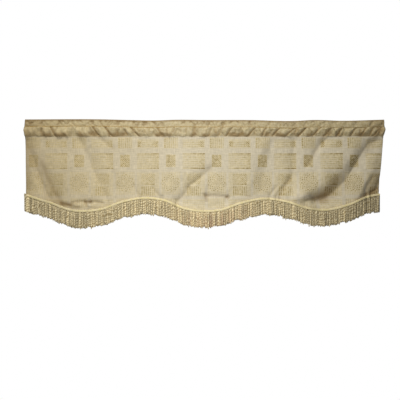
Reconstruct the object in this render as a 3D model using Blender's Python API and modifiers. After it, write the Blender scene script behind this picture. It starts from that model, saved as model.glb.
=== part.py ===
"""Scalloped valance: one hung cloth, the fringe along its hem and the braid over the fringe's band.

The cloth is a single length. Its top is folded to the back and sewn down twice, which makes a
standing heading and, under it, a hollow rod pocket. Its bottom edge hangs in three scallops and
is turned up at the back as a narrow hem.

Metres, +Z up. The origin is the middle of the top edge, +X runs to the right-hand end as seen
from the front, and the front faces -Y.
"""

from typing import NamedTuple

import bmesh
import bpy
import numpy as np

MM = 0.001

# The cloth
CLOTH_THICK = 1.5 * MM
LAYER_PITCH = 2.3 * MM  # middle of one layer to middle of the next where two are sewn together
HEADING = 30.0 * MM  # top edge to the upper row of stitching
POCKET = 38.0 * MM  # upper row of stitching to the lower one
FACING_BELOW = 8.0 * MM  # what the back layer reaches below the lower row
TOP_FOLD_R = 2.6 * MM  # half the depth of the loop along the top edge
HEADING_FRONT = 3.0 * MM  # how far the heading's front layer stands off above its stitching
HEADING_BACK = 1.4 * MM  # and its back layer
POCKET_FRONT = 12.5 * MM  # how far the pocket's front layer bulges
POCKET_BACK = 6.0 * MM  # and its back layer
POCKET_FULL = 1.6  # power of the bulge's section: higher is squarer
HEM_TURN = 16.0 * MM  # height of the hem turned up at the back
HEM_FOLD = 1.6 * MM  # height of the rounded bottom of the hem
PANEL_SHARES = (0.1, 0.22, 0.34, 0.46, 0.58, 0.7, 0.82)  # lines between the pocket and the hem
POCKET_LINES = (-0.66, -0.24, 0.24, 0.66)  # lines in a pocket layer, from -1 at its top to 1
SEAM_HOLD = 22.0 * MM  # under the pocket the seam holds the folds flat over this height
SWAY_BELOW = 120.0 * MM  # and keeps the long waves from their full depth over this one
FOLD_RUN_OUT = 0.18  # share of its length by which a fold starts above its upper end
FOLD_START = 0.25  # share of its length over which it comes to its depth, and ends below it

# The trim, sewn on the front of the hem
TRIM_GAP = 1.0 * MM
TRIM_PAST_LEFT = 6.5 * MM  # how far the trim stands past the left end of the cloth
TRIM_PAST_RIGHT = 4.0 * MM  # and past the right one
BAND_THICK = 2.6 * MM
BAND_ABOVE = 5.0 * MM  # how far the fringe's band reaches above the bottom of the cloth
BAND_BELOW = 2.0 * MM  # and below it
BRAID_THICK = 1.8 * MM
BRAID_HALF = 4.2 * MM  # half the braid's height
FRINGE_DROP = 70.0 * MM  # middle of the braid to the tips of the cords
TOOTH_SHARE = 0.72  # width of a tooth against its pitch
TEETH_PER_CELL = 2

CELLS = 56  # columns of the cloth; the trim follows the same columns


class Side(NamedTuple):
    """Where the two ends of the valance lie at one height, in millimetres."""

    height: float
    left: float
    right: float


SIDES = (
    Side(height=5, left=-758, right=760),
    Side(height=-44, left=-763, right=763),
    Side(height=-70, left=-759, right=757),
    Side(height=-150, left=-757, right=752),
    Side(height=-245, left=-756, right=744),
    Side(height=-310, left=-756, right=743),
)


class Edge(NamedTuple):
    """Height of an edge at one place along the width, in millimetres."""

    across: float
    height: float


TOP_EDGE = (
    Edge(across=-760, height=2.5),
    Edge(across=-420, height=2.5),
    Edge(across=-320, height=0.0),
    Edge(across=-210, height=-2.0),
    Edge(across=-120, height=1.0),
    Edge(across=0, height=0.0),
    Edge(across=180, height=0.0),
    Edge(across=390, height=-3.5),
    Edge(across=460, height=0.0),
    Edge(across=580, height=-3.0),
    Edge(across=760, height=1.5),
)

# Middle line of the braid: three scallops between the two ends
HEM_LINE = (
    Edge(across=-764, height=-314),
    Edge(across=-650, height=-352),
    Edge(across=-565, height=-381),
    Edge(across=-500, height=-385),
    Edge(across=-435, height=-377),
    Edge(across=-350, height=-347),
    Edge(across=-255, height=-330),
    Edge(across=-170, height=-340),
    Edge(across=-85, height=-374),
    Edge(across=-15, height=-385),
    Edge(across=65, height=-381),
    Edge(across=160, height=-350),
    Edge(across=255, height=-333),
    Edge(across=345, height=-345),
    Edge(across=440, height=-374),
    Edge(across=520, height=-380),
    Edge(across=600, height=-362),
    Edge(across=690, height=-326),
    Edge(across=750, height=-314),
)


class Fold(NamedTuple):
    """A soft fold in the hanging cloth, from its upper end to its lower end, in millimetres.

    depth is positive where the cloth falls back and negative where it stands forward. bow is how
    far the middle of its line lies to the right of the straight one. left and right are how far
    its two slopes reach. point is the power of its fall: 2 is round and 1 is sharp.
    """

    upper_x: float
    upper_z: float
    lower_x: float
    lower_z: float
    bow: float
    left: float
    right: float
    upper_depth: float
    lower_depth: float
    point: float = 2.0


FOLDS = (
    # the long fold: straight down from the right end of the pocket, then bent to the hem
    Fold(726, -68, 620, -226, -4, 24, 40, 9, 22, 1.15),
    Fold(606, -250, 468, -344, 12, 54, 48, 19, 27, 1.15),
    Fold(516, -316, 430, -344, 3, 18, 10, 7, 11, 1.25),
    Fold(640, -108, 360, -336, 42, 64, 34, -4, -23),
    # the right edge, which turns back below the middle
    Fold(788, -150, 716, -352, 8, 56, 60, 8, 25, 1.6),
    Fold(722, -165, 640, -342, 4, 40, 24, -4, -11, 1.2),
    # soft creases from the lower stitching
    Fold(512, -72, 428, -196, 2, 18, 14, 15, 5, 1.3),
    Fold(384, -80, 364, -322, 0, 20, 26, 6, 10, 1.3),
    Fold(290, -90, 236, -290, 0, 20, 44, 6, 8, 1.3),
    Fold(246, -110, 186, -285, 0, 60, 20, -4, -6),
    Fold(-530, -85, -420, -325, 0, 16, 28, 8, 8, 1.3),
    # the folds in the middle of the width
    Fold(40, -180, -110, -352, 6, 30, 40, 2, 6),
    Fold(34, -194, -70, -286, 2, 13, 15, 6, 11, 1.2),
    Fold(-62, -290, -118, -348, 2, 11, 14, 7, 12, 1.2),
    Fold(-10, -170, -190, -330, 6, 50, 30, -2, -5),
    Fold(26, -206, 12, -330, 0, 10, 14, 6, 6, 1.3),
    # the hem of the middle scallop, which stands a little forward
    Fold(-60, -372, 110, -374, 0, 12, 26, -4, -4),
    # the left edge, which turns back in its upper half
    Fold(-768, -66, -766, -300, 0, 50, 40, 8, 13),
    # the fold by the left end, and the swell beyond it
    Fold(-746, -108, -656, -346, -4, 20, 74, 6, 27, 1.2),
    Fold(-590, -170, -530, -385, 0, 50, 85, -4, -9),
    # the crease just above the hem of the first scallop
    Fold(-612, -358, -430, -352, 6, 10, 14, 8, 7, 1.4),
)


class Wave(NamedTuple):
    """A long wave across the width: its length, height and shift, in millimetres."""

    length: float
    height: float
    shift: float


SWAY = (Wave(length=640, height=5.0, shift=90), Wave(length=290, height=2.2, shift=-40))
POCKET_WAVES = (Wave(length=212, height=0.9, shift=20), Wave(length=131, height=0.7, shift=-15))


def millimetres(rows, column: str) -> np.ndarray:
    """One named column of a table, in metres."""
    return np.array([getattr(row, column) for row in rows]) * MM


def eased(at, places: np.ndarray, values: np.ndarray):
    """A smooth line through the values: cubic pieces whose slopes are those across the neighbours."""
    slopes = np.gradient(values, places)
    at = np.clip(at, places[0], places[-1])
    i = np.clip(np.searchsorted(places, at, side="right") - 1, 0, len(places) - 2)
    span = places[i + 1] - places[i]
    t = (at - places[i]) / span
    start = (1 + 2 * t) * (1 - t) ** 2 * values[i] + t * (1 - t) ** 2 * span * slopes[i]
    end = t**2 * (3 - 2 * t) * values[i + 1] + t**2 * (t - 1) * span * slopes[i + 1]
    return start + end


def ease_in(t):
    """0 below 0, 1 above 1, and a soft step between."""
    t = np.clip(t, 0.0, 1.0)
    return t * t * (3 - 2 * t)


def edge_height(x, rows):
    """Height of the top edge or the hem at a place along the width."""
    return eased(x, millimetres(rows, "across"), millimetres(rows, "height"))


def across(u, z):
    """Place along the width for a share of it, 0 at the left end, at one height."""
    heights = -millimetres(SIDES, "height")
    left = np.interp(-z, heights, millimetres(SIDES, "left"))
    right = np.interp(-z, heights, millimetres(SIDES, "right"))
    return left + (right - left) * u


def waves(x, rows):
    """Sum of the long waves at a place along the width."""
    return sum(w.height * MM * np.sin(2 * np.pi * (x - w.shift * MM) / (w.length * MM)) for w in rows)


def fold_depth(x, z):
    """How far the folds push the hanging cloth back at a place on it."""
    total = 0.0
    for f in FOLDS:
        run = np.array([f.lower_x - f.upper_x, f.lower_z - f.upper_z]) * MM
        length = np.hypot(*run)
        along = run / length
        dx, dz = x - f.upper_x * MM, z - f.upper_z * MM
        t = (dx * along[0] + dz * along[1]) / length
        inside = np.clip(t, 0.0, 1.0)
        off = -(dx * along[1] - dz * along[0]) - f.bow * MM * 4 * inside * (1 - inside)
        reach = np.where(off < 0, f.left, f.right) * MM
        depth = (f.upper_depth + (f.lower_depth - f.upper_depth) * inside) * MM
        ends = ease_in((t + FOLD_RUN_OUT) / FOLD_START) * ease_in((1 + FOLD_RUN_OUT - t) / FOLD_START)
        total = total + depth * ends * np.exp(-(np.abs(off / reach) ** f.point))
    return total


def hang(x, z):
    """How far the hanging cloth lies behind the plane of the seam; nothing at the seam itself."""
    below = -z - (HEADING + POCKET)
    return ease_in(below / SWAY_BELOW) * waves(x, SWAY) + ease_in(below / SEAM_HOLD) * fold_depth(x, z)


class Station(NamedTuple):
    """One line of the cloth that runs along the width.

    down is the distance under the top edge, or, where hem_share is set, how far the line lies
    between the lower stitching and the bottom of the cloth. lift is added above that bottom.
    """

    down: float
    depth: float
    hem_share: float = -1.0
    lift: float = 0.0
    pocket: float = 0.0


def pocket_stations(bulge: float, base: float, pocket: float):
    """The lines of one pocket layer between its two rows of stitching, from the top down."""
    stations = []
    for t in POCKET_LINES:
        swell = 1 - abs(t) ** POCKET_FULL
        down = HEADING + POCKET * (1 + t) / 2
        stations.append(Station(down=down, depth=base + bulge * swell, pocket=pocket * swell))
    return stations


def section():
    """The lines of the cloth in order: up the back layer, over the top, down the front, the hem."""
    seam, foot = HEADING, HEADING + POCKET
    ahead, behind = -LAYER_PITCH / 2, LAYER_PITCH / 2
    back = [Station(down=foot + FACING_BELOW, depth=behind), Station(down=foot, depth=behind)]
    back += reversed(pocket_stations(POCKET_BACK, behind, 0.0))
    back += [Station(down=seam, depth=behind), Station(down=seam / 2, depth=behind + HEADING_BACK)]
    top = [
        Station(down=TOP_FOLD_R, depth=TOP_FOLD_R),
        Station(down=CLOTH_THICK / 2, depth=0.0),
        Station(down=TOP_FOLD_R, depth=-TOP_FOLD_R),
    ]
    front = [Station(down=seam / 2, depth=ahead - HEADING_FRONT), Station(down=seam, depth=ahead)]
    front += pocket_stations(-POCKET_FRONT, ahead, 1.0)
    front += [Station(down=foot, depth=ahead)]
    panel = [Station(down=foot, depth=ahead, hem_share=s) for s in PANEL_SHARES]
    hem = [
        Station(down=foot, depth=ahead, hem_share=1.0, lift=HEM_TURN),
        Station(down=foot, depth=ahead, hem_share=1.0, lift=HEM_FOLD),
        Station(down=foot, depth=0.0, hem_share=1.0),
        Station(down=foot, depth=behind, hem_share=1.0, lift=HEM_FOLD),
        Station(down=foot, depth=behind, hem_share=1.0, lift=HEM_TURN),
    ]
    return back + top + front + panel + hem


def cloth_bottom(x):
    """Height of the bottom of the cloth: just below the middle of the braid."""
    return edge_height(x, HEM_LINE) - BRAID_HALF / 2


def cloth_point(u: float, station: Station):
    """A point of the cloth's middle surface, for a share of the width and a line of the section.

    The unevenness of the top edge dies out over the first part of the pocket, and the hem, held
    stiff by its turn and its trim, keeps one depth over its height.
    """
    x = across(u, -station.down)
    for _ in range(3):
        z = edge_height(x, TOP_EDGE) * ease_in(2 - station.down / HEADING) - station.down
        if station.hem_share >= 0:
            z = -station.down + (cloth_bottom(x) + station.down) * station.hem_share + station.lift
        x = across(u, z)
    stiff_hem = cloth_bottom(x) + HEM_TURN
    y = station.depth + hang(x, max(z, stiff_hem)) - station.pocket * waves(x, POCKET_WAVES)
    return np.array([x, y, z])


def shape_grid(name: str, columns: int, rows: int, place, open_at=None) -> bpy.types.Object:
    """A Blender grid whose points are put where place(column, row) says.

    The faces for which open_at(column, row) is true are taken away first.
    """
    bm = bmesh.new()
    bmesh.ops.create_grid(bm, x_segments=columns, y_segments=rows, size=0.5)
    if open_at:
        middles = [(f, f.calc_center_median()) for f in bm.faces]
        gaps = [f for f, m in middles if open_at(int((m.x + 0.5) * columns), int((m.y + 0.5) * rows))]
        bmesh.ops.delete(bm, geom=gaps, context="FACES")
    for v in bm.verts:
        v.co = place(round((v.co.x + 0.5) * columns), round((v.co.y + 0.5) * rows))
    mesh = bpy.data.meshes.new(name)
    bm.to_mesh(mesh)
    bm.free()
    return bpy.data.objects.new(name, mesh)


def thicken(part: bpy.types.Object, thickness: float) -> None:
    """Give an open surface its thickness, half to each side."""
    solid = part.modifiers.new("thickness", "SOLIDIFY")
    solid.thickness = thickness
    solid.offset = 0.0
    solid.use_even_offset = False


def make_cloth() -> bpy.types.Object:
    """The whole cloth: back of the pocket, heading, front of the pocket, panel and hem."""
    stations = section()
    cloth = shape_grid(
        "valance_cloth",
        CELLS,
        len(stations) - 1,
        lambda column, row: cloth_point(column / CELLS, stations[row]),
    )
    thicken(cloth, CLOTH_THICK)
    return cloth


def trim_columns(places):
    """Columns of the trim from those of the cloth: the first and last one stand past its ends."""
    hem_height = SIDES[-1].height * MM
    cell = (across(1.0, hem_height) - across(0.0, hem_height)) / CELLS
    return [-TRIM_PAST_LEFT / cell, *places[1:-1], CELLS + TRIM_PAST_RIGHT / cell]


def trim_point(column: float, out: float, above: float):
    """A point in front of the hem: out from the cloth's middle, above the braid's middle line.

    Between two columns of the cloth it lies on the straight line from one to the other, as the
    cloth does, so that the trim keeps its distance. Past the ends it follows the last line.
    """
    low = int(np.clip(np.floor(column), 0, CELLS - 1))
    bottom = Station(down=HEADING + POCKET, depth=-LAYER_PITCH / 2, hem_share=1.0)
    ends = [cloth_point(c / CELLS, bottom) for c in (low, low + 1)]
    x, y, z = ends[0] + (ends[1] - ends[0]) * (column - low)
    return x, y - out, z + BRAID_HALF / 2 + above


def make_braid() -> bpy.types.Object:
    """The flat braid along the hem, over the fringe's band."""
    out = CLOTH_THICK / 2 + TRIM_GAP + BAND_THICK + TRIM_GAP + BRAID_THICK / 2
    columns = trim_columns(range(CELLS + 1))
    edges = (-BRAID_HALF, BRAID_HALF)
    braid = shape_grid("braid", CELLS, 1, lambda c, row: trim_point(columns[c], out, edges[row]))
    thicken(braid, BRAID_THICK)
    return braid


def make_fringe() -> bpy.types.Object:
    """The fringe as one comb: its top band and a tooth for every bunch of cords."""
    out = CLOTH_THICK / 2 + TRIM_GAP + BAND_THICK / 2
    half_gap = (1 - TOOTH_SHARE) / 2
    sides = [0.0]
    for tooth in range(CELLS * TEETH_PER_CELL):
        sides += [(tooth + half_gap) / TEETH_PER_CELL, (tooth + 1 - half_gap) / TEETH_PER_CELL]
    sides.append(CELLS)
    columns = trim_columns(sides)
    edges = (-FRINGE_DROP, -BAND_BELOW, BAND_ABOVE)
    fringe = shape_grid(
        "fringe",
        len(columns) - 1,
        2,
        lambda c, row: trim_point(columns[c], out, edges[row]),
        lambda c, row: row == 0 and c % 2 == 0,
    )
    thicken(fringe, BAND_THICK)
    return fringe


def finish(part: bpy.types.Object, colour, roughness: float, sheen: float) -> None:
    """Give a piece its own plain textile material."""
    material = bpy.data.materials.new(part.name)
    material.use_nodes = True
    shader = material.node_tree.nodes["Principled BSDF"]
    shader.inputs["Base Color"].default_value = (*colour, 1.0)
    shader.inputs["Roughness"].default_value = roughness
    shader.inputs["Sheen Weight"].default_value = sheen
    part.data.materials.append(material)


def main() -> None:
    """Build the three pieces in one collection."""
    for old in list(bpy.data.objects):
        bpy.data.objects.remove(old, do_unlink=True)
    valance = bpy.data.collections.new("scalloped_valance")
    bpy.context.scene.collection.children.link(valance)
    pieces = (
        (make_cloth(), (0.52, 0.44, 0.29), 0.75, 0.3),
        (make_fringe(), (0.47, 0.38, 0.22), 0.7, 0.3),
        (make_braid(), (0.66, 0.56, 0.33), 0.55, 0.2),
    )
    for part, colour, roughness, sheen in pieces:
        valance.objects.link(part)
        finish(part, colour, roughness, sheen)


main()
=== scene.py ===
"""A scalloped rod pocket valance of figured cloth, edged with braid and a fringe of twisted cords.

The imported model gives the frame. Every piece here lies on the folds of the solid that it stands
for: the cloth with its heading, pocket and turned hem, the braid along the hem, and the fringe.

Metres, +Z up. The origin is the middle of the top edge, +X runs to the right-hand end as seen
from the front, and the front faces -Y. Tables are in millimetres.
"""

import logging
from dataclasses import dataclass
from enum import Enum
from typing import Any, NamedTuple, Optional, Sequence

import bpy
import numpy as np
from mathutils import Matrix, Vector


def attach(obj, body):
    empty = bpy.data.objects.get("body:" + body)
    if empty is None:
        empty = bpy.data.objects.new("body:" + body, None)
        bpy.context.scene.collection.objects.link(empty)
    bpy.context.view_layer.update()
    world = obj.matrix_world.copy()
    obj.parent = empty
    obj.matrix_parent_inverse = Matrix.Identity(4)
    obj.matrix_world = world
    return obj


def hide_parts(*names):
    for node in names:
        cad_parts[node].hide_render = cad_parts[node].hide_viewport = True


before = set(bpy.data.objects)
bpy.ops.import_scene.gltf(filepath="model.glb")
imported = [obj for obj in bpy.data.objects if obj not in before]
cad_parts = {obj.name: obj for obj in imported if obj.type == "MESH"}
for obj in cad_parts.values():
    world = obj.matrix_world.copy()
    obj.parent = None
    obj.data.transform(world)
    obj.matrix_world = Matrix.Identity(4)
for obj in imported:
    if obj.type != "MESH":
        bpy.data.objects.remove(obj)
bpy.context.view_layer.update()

log = logging.getLogger("valance")

MM = 0.001
END = 760 * MM  # from the middle of the cloth to either end
SEAM = 68 * MM  # from the top edge to the lower row of stitching


# ---- Small tools ----


def colour(code: str) -> tuple[float, float, float, float]:
    """Turn an sRGB hex colour into the linear colour that a shader takes.

    Args:
        code: Six hex digits.

    Returns:
        Linear red, green, blue and an alpha of 1.
    """
    parts = [int(code[i : i + 2], 16) / 255 for i in (0, 2, 4)]
    return (*(p / 12.92 if p <= 0.04045 else ((p + 0.055) / 1.055) ** 2.4 for p in parts), 1.0)


def ease(t: np.ndarray) -> np.ndarray:
    """Soft step: 0 below 0, 1 above 1, and 3t^2 - 2t^3 between."""
    t = np.clip(t, 0.0, 1.0)
    return t * t * (3 - 2 * t)


def smooth_line(at: np.ndarray, places: np.ndarray, values: np.ndarray) -> np.ndarray:
    """Follow a table smoothly, by cubic pieces whose slope at a row is that across its neighbours.

    Args:
        at: Where to read the line.
        places: Rising places of the rows.
        values: Value at each row.

    Returns:
        The value at every place asked for.
    """
    slopes = np.gradient(values, places)
    at = np.clip(at, places[0], places[-1])
    i = np.clip(np.searchsorted(places, at, side="right") - 1, 0, len(places) - 2)
    span = places[i + 1] - places[i]
    t = (at - places[i]) / span
    start = (1 + 2 * t) * (1 - t) ** 2 * values[i] + t * (1 - t) ** 2 * span * slopes[i]
    end = t**2 * (3 - 2 * t) * values[i + 1] + t**2 * (t - 1) * span * slopes[i + 1]
    return start + end


def soft_noise(x: np.ndarray, y: np.ndarray | float, size: float, seed: int) -> np.ndarray:
    """Uneven but smooth values from -1 to 1: random numbers on a lattice, eased between.

    Args:
        x: First coordinate.
        y: Second coordinate.
        size: Side of a lattice cell.
        seed: Which set of random numbers.

    Returns:
        One value a point.
    """
    count = 97  # cells before the lattice comes again
    table = np.random.default_rng(seed).uniform(-1, 1, (count, count))
    gx, gy = np.broadcast_arrays(x / size, y / size)
    ix, iy = np.floor(gx).astype(int), np.floor(gy).astype(int)
    fx, fy = ease(gx - ix), ease(gy - iy)
    here, right, up, both = (
        table[(ix + dx) % count, (iy + dy) % count] for dx, dy in ((0, 0), (1, 0), (0, 1), (1, 1))
    )
    near = here + (right - here) * fx
    far = up + (both - up) * fx
    return near + (far - near) * fy


def scatter(
    x: np.ndarray,
    t: np.ndarray | float,
    count: int,
    slants: tuple[float, float],
    widths: tuple[float, float],
    depths: tuple[float, float],
    seed: int,
) -> np.ndarray:
    """Strew short creases over a strip, each aslant and bent, as e to the minus |off / width|^1.4.

    Args:
        x: Places across.
        t: 0 at one edge of the strip to 1 at the other.
        count: How many creases.
        slants: Least and most that a crease leans, to either side, in millimetres.
        widths: Least and most width, in millimetres.
        depths: Least and most depth, in millimetres.
        seed: Which set of random creases.

    Returns:
        Depth in metres.
    """
    rng = np.random.default_rng(seed)
    creases = np.zeros_like(x)
    reach = 770  # just past both ends of the cloth
    bent = 14  # how far the middle of a crease lies to either side at most
    for _ in range(count):
        at, slant = rng.uniform(-reach, reach), rng.choice((-1, 1)) * rng.uniform(*slants)
        width, depth, bend = rng.uniform(*widths), rng.uniform(*depths), rng.uniform(-bent, bent)
        first, last = rng.uniform(-0.3, 0.45), rng.uniform(0.55, 1.15)
        off = x / MM - (at + slant * (t - 0.5) + bend * (1 - 4 * (t - 0.5) ** 2))
        length = ease((t - first) * 5) * ease((last - t) * 5)
        creases = creases + depth * MM * length * np.exp(-(np.abs(off / width) ** 1.4))
    return creases


def column(rows: Sequence[Any], name: str) -> np.ndarray:
    """One named column of a table in millimetres, as metres."""
    return np.array([getattr(row, name) for row in rows]) * MM


def grid_faces(rows: int, columns: int) -> np.ndarray:
    """Quads of a grid of points numbered row by row.

    Args:
        rows: Rows of points.
        columns: Points in a row.

    Returns:
        Four point numbers a face, facing -Y where rows run down and columns to the right.
    """
    number = np.arange(rows * columns).reshape(rows, columns)
    corners = [number[:-1, :-1], number[1:, :-1], number[1:, 1:], number[:-1, 1:]]
    return np.stack(corners, axis=-1).reshape(-1, 4)


def make_mesh(
    name: str,
    points: np.ndarray,
    faces: Sequence[Sequence[int]],
    lay: np.ndarray,
    tones: Optional[dict[str, np.ndarray]] = None,
) -> bpy.types.Object:
    """Put arrays into a mesh object in the scene.

    Args:
        name: Name of the piece.
        points: One point a row.
        faces: Point numbers of each face.
        lay: Place on the cloth or along the cord, one row a face corner.
        tones: Named values, one a point, that the finish reads.

    Returns:
        The new object, smooth shaded, at the origin.
    """
    mesh = bpy.data.meshes.new(name)
    mesh.from_pydata(points.tolist(), [], faces)
    mesh.shade_smooth()
    layer = mesh.uv_layers.new(name="lay")
    layer.data.foreach_set("uv", lay.astype(np.float32).ravel())
    for tone, values in (tones or {}).items():
        stored = mesh.attributes.new(tone, "FLOAT", "POINT")
        stored.data.foreach_set("value", values.astype(np.float32))
    mesh.update()
    piece = bpy.data.objects.new(name, mesh)
    bpy.context.scene.collection.objects.link(piece)
    return piece


class Strands(NamedTuple):
    """Closed tubes in one set of arrays."""

    points: np.ndarray
    faces: list[list[int]]
    lay: np.ndarray


def sweep(paths: np.ndarray, section: np.ndarray, shift: Optional[np.ndarray] = None) -> Strands:
    """Carry a closed section along many paths and close both ends.

    A point of a tube is the path's point, plus the section's first number times the direction
    square to the path and to Y, plus its second times the direction square to both.

    Args:
        paths: Middle lines, as tube, ring, xyz.
        section: Outline round the path, as tube, ring, side, and its two numbers.
        shift: What is added to the length along each tube in its lay.

    Returns:
        The tubes. Their lay is the share of the way round and the metres along.
    """
    count, rings, sides = section.shape[:3]
    along = np.gradient(paths, axis=1)
    along /= np.linalg.norm(along, axis=-1, keepdims=True)
    aside = np.cross(along, np.array([0.0, -1.0, 0.0]))
    aside /= np.linalg.norm(aside, axis=-1, keepdims=True)
    ahead = np.cross(aside, along)
    points = (
        paths[:, :, None, :]
        + section[..., 0:1] * aside[:, :, None, :]
        + section[..., 1:2] * ahead[:, :, None, :]
    )
    number = np.arange(count * rings * sides).reshape(count, rings, sides)
    after = np.roll(number, -1, axis=2)
    quads = np.stack([number[:, :-1], after[:, :-1], after[:, 1:], number[:, 1:]], axis=-1)
    caps = np.concatenate([number[:, 0, ::-1], number[:, -1]])
    steps = np.linalg.norm(np.diff(paths, axis=1), axis=-1)
    length = np.concatenate([np.zeros((count, 1)), np.cumsum(steps, axis=1)], axis=1)
    length = length + (0 if shift is None else shift[:, None])
    side, here, there = np.arange(sides), length[:, :-1], length[:, 1:]
    u = np.stack([side, side + 1, side + 1, side], axis=-1) / sides
    v = np.stack([here, here, there, there], axis=-1)[:, :, None]
    quad_lay = np.stack(np.broadcast_arrays(u, v), axis=-1)
    cap_lay = np.zeros((2 * count, sides, 2))
    cap_lay[..., 1] = np.concatenate([length[:, 0], length[:, -1]])[:, None]
    faces = quads.reshape(-1, 4).tolist() + caps.tolist()
    lay = np.concatenate([quad_lay.reshape(-1, 2), cap_lay.reshape(-1, 2)])
    return Strands(points.reshape(-1, 3), faces, lay)


def circle(sides: int) -> np.ndarray:
    """Points round a circle of radius 1."""
    angle = np.linspace(0, 2 * np.pi, sides, endpoint=False)
    return np.stack([np.cos(angle), np.sin(angle)], axis=-1)


def add(tree: bpy.types.NodeTree, kind: str, inputs: Any = (), **settings: Any) -> Any:
    """Add a shader node with its settings and links.

    Args:
        tree: Node tree of the material.
        kind: Node type without its "ShaderNode" prefix.
        inputs: What goes into the first sockets in their order, or into the sockets that a dict
            names or numbers: a value, an output, or a node whose first output it is.
        settings: Attributes of the node.

    Returns:
        The node.
    """
    node = tree.nodes.new("ShaderNode" + kind)
    for name, value in settings.items():
        setattr(node, name, value)
    for socket, value in inputs.items() if isinstance(inputs, dict) else enumerate(inputs):
        if isinstance(value, bpy.types.Node):
            value = value.outputs[0]
        if isinstance(value, bpy.types.NodeSocket):
            tree.links.new(value, node.inputs[socket])
        else:
            node.inputs[socket].default_value = value
    return node


def new_material(name: str) -> tuple[bpy.types.Material, bpy.types.NodeTree]:
    """Start a material.

    Args:
        name: Its name.

    Returns:
        The material and its empty node tree.
    """
    made = bpy.data.materials.new(name)
    made.use_nodes = True
    made.node_tree.nodes.clear()
    return made, made.node_tree


class Slot(Enum):
    """Material slots of the record."""

    CLOTH = "valance_cloth"
    FRINGE = "fringe"
    BRAID = "braid"


def dress(piece: bpy.types.Object, finish: bpy.types.Material) -> None:
    """Give a piece its finish, and let it ride on the one body.

    Args:
        piece: The piece.
        finish: Its material.
    """
    piece.data.materials.append(finish)
    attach(piece, "root")


# ---- The outline and the hang of the cloth ----


class Side(NamedTuple):
    """Where the two ends of the cloth lie at one height."""

    height: float
    left: float
    right: float


class Edge(NamedTuple):
    """Height of an edge at one place along the width."""

    across: float
    height: float


SIDES = (
    Side(5, -758, 760), Side(-44, -763, 763), Side(-70, -759, 757),
    Side(-150, -757, 752), Side(-245, -756, 744), Side(-310, -756, 743),
)
TOP_EDGE = (
    Edge(-760, 2.5), Edge(-420, 2.5), Edge(-320, 0.0), Edge(-210, -2.0), Edge(-120, 1.0),
    Edge(0, 0.0), Edge(180, 0.0), Edge(390, -3.5), Edge(460, 0.0), Edge(580, -3.0),
    Edge(760, 1.5),
)
HEM_LINE = (
    Edge(-764, -314), Edge(-650, -352), Edge(-565, -381), Edge(-500, -385), Edge(-435, -377),
    Edge(-350, -347), Edge(-255, -330), Edge(-170, -340), Edge(-85, -374), Edge(-15, -385),
    Edge(65, -381), Edge(160, -350), Edge(255, -333), Edge(345, -345), Edge(440, -374),
    Edge(520, -380), Edge(600, -362), Edge(690, -326), Edge(750, -314),
)


@dataclass(frozen=True)
class Outline:
    """Outline of the valance seen from the front."""

    sides: Sequence[Side] = SIDES
    top_edge: Sequence[Edge] = TOP_EDGE
    hem_line: Sequence[Edge] = HEM_LINE

    def across(self, share: np.ndarray, z: np.ndarray) -> np.ndarray:
        """Place along the width: straight between the two ends at that height.

        Args:
            share: Share of the width, 0 at the left end.
            z: Height.

        Returns:
            X in metres.
        """
        heights = -column(self.sides, "height")
        left = np.interp(-z, heights, column(self.sides, "left"))
        right = np.interp(-z, heights, column(self.sides, "right"))
        return left + (right - left) * share

    def top(self, x: np.ndarray) -> np.ndarray:
        """Height of the top edge."""
        return smooth_line(x, column(self.top_edge, "across"), column(self.top_edge, "height"))

    def hem(self, x: np.ndarray) -> np.ndarray:
        """Height of the middle line of the braid, which runs straight on past both ends.

        Args:
            x: Places across.

        Returns:
            Z in metres.
        """
        places, heights = column(self.hem_line, "across"), column(self.hem_line, "height")
        slopes = np.gradient(heights, places)
        past = x - np.clip(x, places[0], places[-1])
        return smooth_line(x, places, heights) + past * np.where(past < 0, slopes[0], slopes[-1])


class Fold(NamedTuple):
    """A fold in the hanging cloth, from its upper end to its lower end.

    bow is how far the middle of its line lies to the right of the straight one. left and right
    are how far its two slopes reach. The depths, at its two ends, are positive where the cloth
    falls back and negative where it stands forward. point is the power of its fall: 2 is round
    and 1 is sharp. The last number is the painted shade, with some dust, that darkens its line;
    below 0 it is painted light that lightens it.
    """

    upper_x: float
    upper_z: float
    lower_x: float
    lower_z: float
    bow: float
    left: float
    right: float
    upper_depth: float
    lower_depth: float
    point: float = 2.0
    shade_and_dust: float = 0.0


# folds of no depth only paint shade along their lines
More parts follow.
